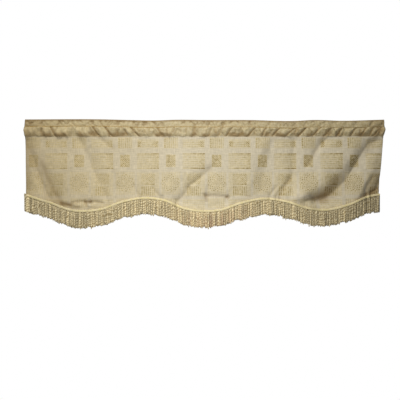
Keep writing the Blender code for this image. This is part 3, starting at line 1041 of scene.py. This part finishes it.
@dataclass
class Cloth:
    """The valance cloth: back of the pocket, heading, front of the pocket, panel and hem."""

    outline: Outline
    hang: Hang
    thick: float = 1.0 * MM
    pitch: float = 2.3 * MM  # middle of one layer to middle of the next where two are sewn
    heading: float = 30 * MM
    pocket: float = 38 * MM
    facing_below: float = 8 * MM
    fold_r: float = 2.6 * MM
    heading_swell: float = 3.2 * MM
    pocket_front: float = 13.5 * MM
    pocket_back: float = 6 * MM
    pocket_sag: float = 5.5 * MM
    hem_turn: float = 16 * MM
    hem_under_braid: float = 2.1 * MM
    columns: int = 411
    panel_rows: int = 62
    cut: tuple[float, float] = (1.56, 0.482)  # the rectangle that the cloth is cut from
    cut_area: float = 0.70  # square metres, less what is cut away between the scallops

    @property
    def share(self) -> np.ndarray:
        """Share of the width at each column, 0 at the left end."""
        return np.linspace(0, 1, self.columns)

    @property
    def foot(self) -> float:
        """Distance of the lower stitching under the top edge."""
        return self.heading + self.pocket

    def gathers(self, x: np.ndarray, t: np.ndarray | float) -> np.ndarray:
        """Depth of the heading's creases, from t = 0 at the top loop to 1 at the stitching."""
        return np.minimum(scatter(x, t, 150, (8, 26), (2.5, 5.5), (2.0, 5.2), 22), 5 * MM)

    def heading_depth(self, x: np.ndarray, z: np.ndarray, t: np.ndarray | float) -> np.ndarray:
        """How far the heading's front layer lies behind the middle, negative forwards.

        It swells by a half sine between the top loop and the stitching, less its creases.

        Args:
            x: Places across.
            z: Heights.
            t: 0 at the top loop to 1 at the stitching.

        Returns:
            Depth in metres.
        """
        swell = self.heading_swell * np.sin(np.pi * t) * (1 + 0.5 * soft_noise(x, z, 30 * MM, 4))
        loop = (self.fold_r - self.pitch / 2) * (1 - t) ** 3
        creases = self.gathers(x, t) * ease(t * 4) * (0.3 + 0.7 * ease((1 - t) * 3))
        return -self.pitch / 2 - swell - loop + creases

    def crease_offs(self, x: np.ndarray, t: np.ndarray) -> list[np.ndarray]:
        """How far to the right of each crease of the pocket every point lies."""
        return [x - (c.low + (c.top - c.low) * (1 - t) / 2) * MM for c in CREASES]

    def pocket_creases(self, x: np.ndarray, t: np.ndarray) -> np.ndarray:
        """Depth of the creases across the front of the pocket, before its ends hold them.

        A crease is a sharp valley whose long slope is on the side of the middle.

        Args:
            x: Places across, rows by columns.
            t: -1 at the upper stitching to 1 at the lower, for each row.

        Returns:
            Depth in metres.
        """
        valleys, long, steep = np.zeros_like(x), 16 * MM, 6 * MM
        for line, c in zip(self.crease_offs(x, t), CREASES):
            left, right = (long, steep) if c.low > -100 else (steep, long)
            fall = np.clip(1 - np.abs(line) / np.where(line < 0, left, right), 0, 1) ** 1.25
            valleys = np.maximum(valleys, c.depth * 1.5 * MM * fall)
        small = scatter(x, (t + 1) / 2, 120, (4, 26), (3.5, 6.5), (1.4, 5.0), 23)
        return np.maximum(valleys, np.minimum(small, 6 * MM))

    def pocket_forward(self, x: np.ndarray, t: np.ndarray) -> np.ndarray:
        """How far the front of the pocket stands forward.

        Its section falls as 1 - t^1.6 above and 1 - t^1.25 below a crest that moves up and down
        from crease to crease.

        Args:
            x: Places across, rows by columns.
            t: -1 at the upper stitching to 1 at the lower, for each row.

        Returns:
            Distance forward in metres.
        """
        off, crest = self.crease_offs(x, t), np.zeros_like(x)
        for this, after, c, d in zip(off, off[1:], CREASES, CREASES[1:]):
            inside = (this >= 0) & (after < 0)
            share = np.where(inside, this / np.maximum(this - after, 1e-6), 0)
            crest = np.where(inside, c.after + (d.before - c.after) * share, crest)
        wander = 0.85 * soft_noise(x, 0.0, 24 * MM, 5) + 0.45 * soft_noise(x, 0.0, 10 * MM, 7)
        crest = np.clip(crest - 0.25 + 0.95 * wander, -0.85, 0.55)
        bent = np.where(t < crest, (t - crest) / (1 + crest), (t - crest) / (1 - crest))
        swell = 1 - np.abs(bent) ** np.where(bent < 0, 1.6, 1.25)
        uneven = 1 + 0.14 * soft_noise(x, t * 0.02, 40 * MM, 3) + 0.12 * soft_noise(x, t * 0.02, 13 * MM, 6)
        held = ease((1 - np.abs(t)) * 3)
        return self.pocket_front * swell * uneven - self.pocket_creases(x, t) * held

    def darker_ends(self, x: np.ndarray) -> np.ndarray:
        """How much darker the cloth is made towards both ends: from 0 in the middle to 1 at both ends."""
        return ease((np.abs(x) - 0.64) / 0.1)

    def heading_shade_and_dust(self, x: np.ndarray, t: np.ndarray) -> np.ndarray:
        """Painted shade and dust of the heading: in its creases, along its top and foot, and at both ends.

        Args:
            x: Places across, rows by columns.
            t: 0 at the top loop to 1 at the stitching, for each row.

        Returns:
            The value, which is up to 0.7 of itself less in the right half.
        """
        top, low = 1.15 * ease(1 - 2.6 * t), 0.7 * ease(8 * t - 7)
        creased = self.gathers(x, t) / (5.4 * MM)
        return (creased + top + low) * (1 - 0.7 * ease((x - 0.15) / 0.4)) + 0.5 * self.darker_ends(x)

    def pocket_shade_and_dust(self, x: np.ndarray, t: np.ndarray) -> np.ndarray:
        """Painted shade and dust of the front of the pocket: in its creases, below its middle and at both
        ends.

        Args:
            x: Places across, rows by columns.
            t: -1 at the upper stitching to 1 at the lower, for each row.

        Returns:
            The value, which below the middle is painted shade, uneven along the width.
        """
        # painted shade under the crest of the pocket, uneven along the width
        shaded_below = np.clip(0.4 + 1.0 * soft_noise(x, 0.0, 22 * MM, 10), 0.1, 1.7)
        shade_and_dust = self.pocket_creases(x, t) / (6 * MM) + shaded_below * ease((t + 0.05) * 1.8)
        return shade_and_dust + 0.45 * self.darker_ends(x)

    def sag(self, x: np.ndarray, t: np.ndarray) -> np.ndarray:
        """How far the belly of the pocket hangs, in places, over the lower stitching."""
        places = np.clip(0.4 + 0.9 * soft_noise(x, 0.0, 18 * MM, 9), 0, 1.2)
        return places * self.pocket_sag * ease(t + 0.4) * ease((1 - t) * 4)

    def bottom(self, x: np.ndarray) -> np.ndarray:
        """Height of the bottom of the cloth, just below the middle of the braid."""
        return self.outline.hem(x) - self.hem_under_braid

    def panel_shade_dust_and_light(self, x: np.ndarray, z: np.ndarray) -> np.ndarray:
        """The painted shade and dust of the panel's folds, less the painted light on its doubled hem low in
        the last two scallops.

        Args:
            x: Places across.
            z: Heights.

        Returns:
            The value of the folds, less up to 0.6 of painted light that dies out 32 mm above the bottom
            edge.
        """
        above, low = z - self.bottom(x), -350 * MM - self.bottom(x)
        light = ease((32 * MM - above) / (14 * MM)) * ease(low / (30 * MM)) * ease((x + 0.46) / 0.1)
        return self.hang.shade_and_dust(x, z) - 0.6 * light

    def hem_depth(self, x: np.ndarray) -> np.ndarray:
        """How far the hem, which its turn and trim hold stiff, lies behind the middle."""
        return self.hang.depth(x, self.bottom(x) + self.hem_turn) - self.pitch / 2

    def upper(self, down: np.ndarray) -> tuple[np.ndarray, np.ndarray]:
        """Place rows at their distance under the top edge, whose waves die out below the heading.

        Args:
            down: Distance under the top edge, for each row.

        Returns:
            X and Z, rows by columns.
        """
        x = self.outline.across(self.share, -down)
        return x, self.outline.top(x) * ease(2 - down / self.heading) - down

    def lower(self, reach: np.ndarray | float, lift: np.ndarray) -> tuple[np.ndarray, np.ndarray]:
        """Place rows between the lower stitching and the bottom edge.

        Args:
            reach: 0 at the stitching to 1 at the bottom, for each row or for all.
            lift: Height above that, for each row.

        Returns:
            X and Z, rows by columns.
        """
        z = -self.foot * np.ones_like(lift)
        # x and z depend on each other, and settle in three rounds
        for _ in range(3):
            x = self.outline.across(self.share, z)
            z = -self.foot + (self.bottom(x) + self.foot) * reach + lift
        return self.outline.across(self.share, z), z

    def surface(self) -> tuple[np.ndarray, int]:
        """Work out the middle surface, from the edge of the back layer over the top to the hem.

        Returns:
            Rows by columns of x, y, z, the two numbers of the lay and its painted shade and dust, and the
            number of the panel's first row.
        """
        seam, foot, behind = self.heading, self.foot, self.pitch / 2
        stretches = []

        def keep(x: np.ndarray, y: Any, z: np.ndarray, along: Any, shade_and_dust: Any = 0.0) -> None:
            """Store one stretch of rows."""
            x, y, z, along, shade_and_dust = np.broadcast_arrays(x, y, z, along, shade_and_dust)
            stretches.append(np.stack([x, y, z, x, along, shade_and_dust], axis=-1))

        # back layer, from its edge below the lower stitching up to the top loop
        down = foot + self.facing_below * np.array([[1.0], [0.5]])
        x, z = self.upper(down)
        keep(x, behind, z, -down)
        t = np.linspace(1, -1, 8)[:, None]
        down = seam + self.pocket * (1 + t) / 2
        x, z = self.upper(down)
        swell = (1 - np.abs(t) ** 2.4) * (1 + 0.2 * soft_noise(x, z, 60 * MM, 8))
        keep(x, behind + self.pocket_back * swell, z, -down)
        t = np.linspace(0, 1, 4)[1:-1, None]
        down = seam - (seam - self.fold_r) * t
        x, z = self.upper(down)
        keep(x, behind + self.heading_swell * np.sin(np.pi * t / 2) / 2, z, -down)
        # loop over the top
        angle = np.linspace(0, np.pi, 6)[:, None]
        x, z = self.upper(self.fold_r - (self.fold_r - self.thick / 2) * np.sin(angle))
        # the loop is darkened with painted shade and dust along the top edge
        keep(x, self.fold_r * np.cos(angle), z, -self.fold_r * np.cos(angle), 1.3)
        # heading
        t = np.linspace(0, 1, 11)[1:, None]
        down = self.fold_r + (seam - self.fold_r) * t
        x, z = self.upper(down)
        keep(x, self.heading_depth(x, z, t), z, down, self.heading_shade_and_dust(x, t))
        # front of the pocket
        t = np.linspace(-1, 1, 16)[1:, None]
        down = seam + self.pocket * (1 + t) / 2
        x, z = self.upper(down)
        z = z - self.sag(x, t)
        step = self.heading_depth(x[:1], z[:1], 1.0) + behind
        y = -behind - self.pocket_forward(x, t) + step * ease(-t)
        keep(x, y, z, down, self.pocket_shade_and_dust(x, t))
        # panel, whose rows lie closer towards the hem
        first = sum(len(s) for s in stretches)
        reach = np.linspace(0, 1, self.panel_rows + 1)[1:, None]
        reach = reach + 0.25 * reach * (1 - reach)
        x, z = self.lower(reach, self.hem_turn * reach)
        keep(x, self.hang.depth(x, z) - behind, z, -z, self.panel_shade_dust_and_light(x, z))
        # hem: down, round the bottom and up behind
        lift, back = np.array(HEM_TURN).T[:, :, None]
        x, z = self.lower(1.0, lift * self.hem_turn)
        keep(x, self.hem_depth(x) + back * behind, z, -z, self.panel_shade_dust_and_light(x, z))
        return np.concatenate(stretches), first

    def turned_sides(self, grid: np.ndarray) -> np.ndarray:
        """Add the narrow side hems, turned to the back, as more columns at both ends.

        Args:
            grid: What surface gives.

        Returns:
            The same with the added columns.
        """
        # of each column: how far it lies inwards from the edge, behind it and round the cloth
        inwards = np.array([-0.4, -0.5, 0.3, 6.0, 12.0]) * MM
        behind = np.array([0.5, 1.4, 1.9, 2.1, 2.0]) * MM
        further = np.array([0.5, 1.5, 2.4, 8.0, 14.0]) * MM
        none = 0 * inwards
        sides = []
        for edge, sign in ((0, 1), (-1, -1)):
            moved = np.stack([sign * inwards, behind, none, -sign * further, none, none], axis=-1)
            extra = grid[:, edge][:, None, :] + moved
            sides.append(extra[:, ::-1] if sign > 0 else extra)
        return np.hstack([sides[0], grid, sides[1]])

    def build(self, with_pieces: Sequence[bpy.types.Object]) -> bpy.types.Object:
        """Args:
            with_pieces: The trim and stitching on it; not used.

        Returns:
            The piece.
        """
        grid, first = self.surface()
        grid = self.turned_sides(grid)
        rows, columns = grid.shape[:2]
        added = (columns - self.columns) // 2
        faces = grid_faces(rows, columns)
        row, place = faces[:, 0] // columns, faces[:, 0] % columns
        # the side hems run from just below the facing to just above the turned hem
        facing_rows, hem_rows = 3, len(HEM_TURN)
        middle = (place >= added) & (place < columns - added - 1)
        faces = faces[middle | ((row >= first + facing_rows) & (row < rows - hem_rows - 1))]
        used, faces = np.unique(faces, return_inverse=True)
        faces, grid = faces.reshape(-1, 4), grid.reshape(-1, 6)[used]
        lay = grid[faces, 3:5].reshape(-1, 2)
        piece = make_mesh("valance_sheet", grid[:, :3], faces.tolist(), lay, {"shade_and_dust": grid[:, 5]})
        solid = piece.modifiers.new("thickness", "SOLIDIFY")
        solid.thickness = self.thick
        solid.offset = 0.0
        solid.use_even_offset = False
        solid.material_offset = 1
        dress(piece, Jacquard().material())
        reverse = Jacquard("jacquard_reverse", contrast=0.45, shade_and_dust_cover=0.25, field="C9BC9C", ground="CFC4A8")
        piece.data.materials.append(reverse.material())
        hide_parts("valance_cloth")
        return piece


# ---- Stitching and trim ----


@dataclass
class Stitching:
    """Rows of lockstitch: the upper seam on both faces, the lower seam and the hem at the back."""

    cloth: Cloth
    step: float = 4.2 * MM
    length: float = 3.4 * MM
    radius: float = 1.6 * MM  # coarser than the real thread, so that the row shows

    def row(self, x: np.ndarray, y: np.ndarray | float, z: np.ndarray | float) -> Strands:
        """Lay a stitch from each place to the next, as a short thread sunk at both ends.

        Args:
            x: Places of the stitches' middles.
            y: Depth of the cloth's face there.
            z: Height there.

        Returns:
            The stitches.
        """
        middles = np.stack(np.broadcast_arrays(x, y, z), axis=-1)
        along = np.gradient(middles, axis=0)
        along /= np.linalg.norm(along, axis=-1, keepdims=True)
        ways, thick = np.array([[-0.5, -0.3, 0.3, 0.5], [0.35, 1.0, 1.0, 0.35]])
        paths = middles[:, None, :] + along[:, None, :] * (ways * self.length)[None, :, None]
        radii = np.broadcast_to(thick * self.radius, paths.shape[:2])
        return sweep(paths, radii[..., None, None] * circle(6))

    def build(self) -> list[bpy.types.Object]:
        """Make all the rows.

        Returns:
            The pieces.
        """
        cloth, outline = self.cloth, self.cloth.outline
        x = np.arange(-756 * MM, 756 * MM, self.step)
        behind, face = cloth.pitch / 2, cloth.thick / 2 + 0.4 * self.radius
        high = outline.top(x) - cloth.heading
        hem_x = np.arange(-750 * MM, 738 * MM, self.step)
        hem_high = cloth.bottom(hem_x) + cloth.hem_turn - 2.5 * MM
        rows = {
            "upper_seam_front": (x, cloth.heading_depth(x, high, 1.0) - face, high),
            "upper_seam_back": (x, behind + face, high),
            "lower_seam_back": (x, behind + face, -cloth.foot),
            "hem_back": (hem_x, cloth.hem_depth(hem_x) + 2 * behind + face, hem_high),
        }
        finish = SewingThread().material()
        pieces = []
        for name, place in rows.items():
            piece = make_mesh(name, *self.row(*place))
            dress(piece, finish)
            pieces.append(piece)
        return pieces


class CordRow(NamedTuple):
    """A row of cords that hang side by side.

    start and end are its ends along the width and pitch the distance from cord to cord. out_top
    and out_tip are their distances before the middle of the cloth, and top is the height of their
    tops over the middle of the braid. lean is how far their tips stray and ragged how uneven
    their lengths are. tone is how light they are, lower for the row behind with painted shade,
    and mixed how far that differs from cord to cord.
    """

    name: str
    start: float
    end: float
    pitch: float
    radius: float
    out_top: float
    out_tip: float
    top: float
    lean: float
    ragged: float
    tone: float
    mixed: float


CORD_ROWS = (
    # the cords behind are darkened with painted shade, and close the gaps between those in front;
    # the last row is the short turned end of the fringe, at the left
    CordRow(
        "fringe_back_cords", start=-759, end=744.5, pitch=5.2, radius=3.6, out_top=2.6, out_tip=-0.6,
        top=-2.5, lean=0.3, ragged=3.4, tone=0.58, mixed=0.12,
    ),
    CordRow(
        "fringe_front_cords", start=-726, end=745.5, pitch=6.6, radius=2.8, out_top=3.4, out_tip=4.8,
        top=-3.0, lean=1.7, ragged=5.6, tone=0.8, mixed=0.13,
    ),
    CordRow(
        "fringe_turned_end", start=-760, end=-738, pitch=5.0, radius=2.8, out_top=8.6, out_tip=7.6,
        top=5.0, lean=1.0, ragged=1.6, tone=0.92, mixed=0.16,
    ),
)
# places along the width, in millimetres, and how much longer the fringe is there
LONGER = ((-740, 2), (-300, 2), (0, -2), (280, 0.5), (540, -0.8), (700, 6))
# places along the width and the painted light of the cords there: lightest near the middle, darkest at the
# right end
PAINTED_LIGHT_ACROSS = ((-760, 1.15), (-300, 1.1), (60, 1.21), (300, 1.09), (580, 0.96), (760, 0.84))
# shares of a cord's length and its thickness there: it is rounded at its tip
CORD_DOWN, CORD_THICK = np.array([
    (0, 0.55), (0.07, 0.95), (0.2, 1), (0.33, 1), (0.47, 1),
    (0.61, 1), (0.76, 1.04), (0.9, 1), (0.975, 0.7), (1, 0.25),
]).T


@dataclass
class Trim:
    """The fringe's band with its cords, and the braid sewn over it, along the hem."""

    cloth: Cloth
    left: float = -762.5 * MM
    right: float = 747 * MM
    band_out: float = 3.05 * MM  # middle of the band before the middle of the cloth
    band_half: float = 1.1 * MM
    band_above: float = 5.0 * MM
    band_below: float = 2.5 * MM
    braid_out: float = 6.25 * MM
    braid_half_height: float = 4.4 * MM
    braid_half_depth: float = 1.2 * MM
    plait: float = 5.0 * MM  # one strand of the braid to the next
    drop: float = 69.5 * MM

    def place(self, x: np.ndarray, out: float, above: float) -> np.ndarray:
        """Points before the hem.

        Args:
            x: Places along the width.
            out: Distance before the middle of the cloth.
            above: Height over the middle line of the braid.

        Returns:
            One point a place.
        """
        x, out, above = np.broadcast_arrays(x, out, above)
        return np.stack([x, self.cloth.hem_depth(x) - out, self.cloth.outline.hem(x) + above], axis=-1)

    def flat(self, count: int, half_height: float, half_depth: float, sides: int) -> np.ndarray:
        """Section of a flat band: a superellipse of power 3, smaller at the two ends of the band.

        Args:
            count: Rings along the band.
            half_height: Half its height.
            half_depth: Half its thickness.
            sides: Points in a ring.

        Returns:
            The section for sweep, of one tube.
        """
        ring = np.sign(circle(sides)) * np.abs(circle(sides)) ** (2 / 3) * (half_height, half_depth)
        section = np.tile(ring, (1, count, 1, 1))
        section[:, [0, -1]] *= 0.6
        return section

    def build_braid(self) -> bpy.types.Object:
        """Plait the braid: its face stands out by the size of a sine along it, slanted both ways.

        Returns:
            The piece.
        """
        x = np.arange(self.left, self.right, 1.25 * MM)
        section = self.flat(len(x), self.braid_half_height, self.braid_half_depth, 16)
        aslant = np.abs(section[0, :, :, 0]) / self.braid_half_height
        strand = np.abs(np.sin(np.pi * (x[:, None] / self.plait + 0.6 * aslant)))
        front = section[0, :, :, 1] > 0.3 * self.braid_half_depth
        section[0, :, :, 1] += np.where(front, 0.5 * MM * (strand - 0.5), 0)
        path = self.place(x, self.braid_out, 0.0)[None]
        piece = make_mesh("plaited_braid", *sweep(path, section))
        dress(piece, PlaitedBraid().material())
        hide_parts("braid")
        return piece

    def build_band(self, finish: bpy.types.Material) -> bpy.types.Object:
        """Make the woven band that holds the cords.

        Args:
            finish: Its material.

        Returns:
            The piece.
        """
        x = np.arange(self.left + 1 * MM, self.right - 1 * MM, 4 * MM)
        half = (self.band_above + self.band_below) / 2
        path = self.place(x, self.band_out, self.band_above - half)[None]
        strands = sweep(path, self.flat(len(x), half, self.band_half, 12))
        tones = {"tone": np.full(len(strands.points), 0.9), "blush": np.zeros(len(strands.points))}
        piece = make_mesh("fringe_band", *strands, tones)
        dress(piece, finish)
        return piece

    def cord_paths(
        self, x: np.ndarray, row: CordRow, seed: int, rng: np.random.Generator
    ) -> np.ndarray:
        """Middle lines of cords, which lean as their length to the power 1.3 and sway as a half sine.

        Args:
            x: Places of their tops.
            row: The row that they are in.
            seed: Which set of leans neighbours share.
            rng: Source of what is each cord's own.

        Returns:
            Cord, ring, xyz.
        """
        count, down = len(x), CORD_DOWN
        lean = soft_noise(x, seed, 16 * MM, 31) * row.lean + rng.normal(0, row.lean, count)
        sway = rng.normal(0, 0.3 * row.lean, (count, 1)) * np.sin(np.pi * down)
        drop = self.drop + (row.top + row.ragged * soft_noise(x, 0.0, 14 * MM, 33)) * MM
        drop = drop + rng.normal(0, 0.5 * row.ragged, count) * MM
        drop = drop + np.interp(x / MM, *zip(*LONGER)) * MM
        paths = np.repeat(self.place(x, row.out_top * MM, row.top * MM)[:, None, :], len(down), axis=1)
        paths[:, :, 0] += (lean[:, None] * down**1.3 + sway) * MM
        forward = (row.out_top - row.out_tip) * ease(down * 3) + rng.normal(0, 0.5, (count, 1)) * down
        paths[:, :, 1] += forward * MM
        paths[:, :, 2] -= drop[:, None] * down
        return paths

    def cord_tones(
        self, x: np.ndarray, row: CordRow, rng: np.random.Generator
    ) -> tuple[np.ndarray, np.ndarray]:
        """How light the cords are, with painted light across the width and towards their tips, and how far
        those near the middle have faded to a reddish brown.

        Args:
            x: Places of their tops.
            row: The row that they are in.
            rng: Source of what is each cord's own.

        Returns:
            The two, as cord, ring.
        """
        count, down = len(x), CORD_DOWN
        shade = rng.normal(1.0, row.mixed, (count, 1)) * rng.normal(1.0, 0.07, (count, len(down)))
        # painted light: the lower ends a little lighter
        shade = shade * (1 + 0.12 * down)
        painted_light = row.tone * np.interp(x / MM, *zip(*PAINTED_LIGHT_ACROSS))
        faded = np.exp(-(((x / MM - 40) / 140) ** 2)) * rng.uniform(0, 1.0, count)
        return np.clip(shade * painted_light[:, None], 0.3, 1.3), faded[:, None] * ease(down + 0.3)

    def cords(self, row: CordRow, seed: int, finish: bpy.types.Material) -> bpy.types.Object:
        """Hang a row of cords, each with its own lean, length, thickness, twist and tone.

        Args:
            row: The row.
            seed: Which set of random numbers.
            finish: Their material.

        Returns:
            The piece.
        """
        rng, sides = np.random.default_rng(seed), 6
        x = np.arange(row.start, row.end, row.pitch) * MM
        x = x + rng.normal(0, 0.6 * row.lean, len(x)) * MM
        paths = self.cord_paths(x, row, seed, rng)
        radii = row.radius * MM * CORD_THICK * rng.uniform(0.86, 1.12, (len(x), 1))
        shift = rng.uniform(0, 10.5, len(x)) * MM
        strands = sweep(paths, radii[..., None, None] * circle(sides), shift)
        tone, blush = (np.repeat(values.ravel(), sides) for values in self.cord_tones(x, row, rng))
        piece = make_mesh(row.name, *strands, {"tone": tone, "blush": blush})
        dress(piece, finish)
        return piece

    def build(self) -> list[bpy.types.Object]:
        """Make the band, the rows of cords and the braid.

        Returns:
            The pieces.
        """
        finish = TwistedCord().material()
        band = self.build_band(finish)
        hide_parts("fringe")
        rows = [self.cords(row, 41 + number, finish) for number, row in enumerate(CORD_ROWS)]
        return [band, *rows, self.build_braid()]


# ---- Stage ----


class Lamp(NamedTuple):
    """A square soft light: where it stands, where it points, its side, its watts and its colour."""

    name: str
    at: tuple[float, float, float]
    to: tuple[float, float, float]
    size: float
    power: float
    tint: str


LAMPS = (
    Lamp("key", (-0.08, -0.92, -0.17), (-0.07, 0, -0.22), 0.3, 4.85, "FFFCF6"),
    Lamp("ceiling", (-0.7, -2.0, 2.6), (-0.1, 0, -0.2), 0.9, 68, "FFFDF8"),
    Lamp("behind", (0.4, 1.9, 0.9), (0, 0, -0.25), 1.2, 34, "FFFDF8"),
)


@dataclass
class Studio:
    """Floor, soft lights, pale surroundings and the camera."""

    distance: float = 3.0
    floor_under: float = 2.1  # a window valance hangs about this high
    floor_half: float = 3.0
    room_light: float = 0.1
    middle: tuple[float, float] = (-0.0186, -0.3386)  # what the camera looks at, across and up
    seen_width: float = 1.693  # metres across the picture at the valance

    def light(self, lamp: Lamp) -> None:
        """Add one of the lights.

        Args:
            lamp: The light.
        """
        made = bpy.data.lights.new(lamp.name, "AREA")
        made.size = lamp.size
        made.energy = lamp.power
        made.color = colour(lamp.tint)[:3]
        holder = bpy.data.objects.new(lamp.name, made)
        holder.location = lamp.at
        holder.rotation_euler = (Vector(lamp.to) - Vector(lamp.at)).to_track_quat("-Z", "Y").to_euler()
        bpy.context.scene.collection.objects.link(holder)

    def build(self) -> None:
        """Build floor, world, lights and camera."""
        scene = bpy.context.scene
        scene.view_settings.view_transform = "Standard"
        half, low = self.floor_half, -self.floor_under
        corners = np.array([[-half, -half, low], [half, -half, low], [half, half, low], [-half, half, low]])
        floor = make_mesh("floor", corners, [[0, 1, 2, 3]], corners[:, :2])
        paper, tree = new_material("pale_paper")
        surface = {"Base Color": colour("F4F3F0"), "Roughness": 0.9}
        add(tree, "OutputMaterial", [add(tree, "BsdfPrincipled", surface)])
        floor.data.materials.append(paper)
        world = bpy.data.worlds.new("pale_room")
        world.use_nodes = True
        scene.world = world
        tree = world.node_tree
        tree.nodes.clear()
        seen = add(tree, "LightPath").outputs["Is Camera Ray"]
        room = add(tree, "Background", {"Color": colour("FFFFFF"), "Strength": self.room_light})
        behind = add(tree, "Background", {"Color": colour("FFFFFF"), "Strength": 1.0})
        add(tree, "OutputWorld", [add(tree, "MixShader", [seen, room, behind])])
        for lamp in LAMPS:
            self.light(lamp)
        camera = bpy.data.cameras.new("camera")
        camera.sensor_width = 36
        camera.lens = camera.sensor_width * self.distance / self.seen_width
        holder = bpy.data.objects.new("camera", camera)
        holder.location = (self.middle[0], -self.distance, self.middle[1])
        holder.rotation_euler = (np.pi / 2, 0, 0)
        scene.collection.objects.link(holder)
        scene.camera = holder


def main() -> None:
    """Build the stage and each piece in order, and report the pieces."""
    logging.basicConfig(level=logging.INFO, format="%(name)s: %(message)s")
    Studio().build()
    cloth = Cloth(Outline(), Hang())
    pieces = Stitching(cloth).build() + Trim(cloth).build()
    pieces.append(cloth.build(pieces))
    for piece in pieces:
        log.info("%s: %d points, %d faces", piece.name, len(piece.data.vertices), len(piece.data.polygons))


if __name__ == "__main__":
    main()
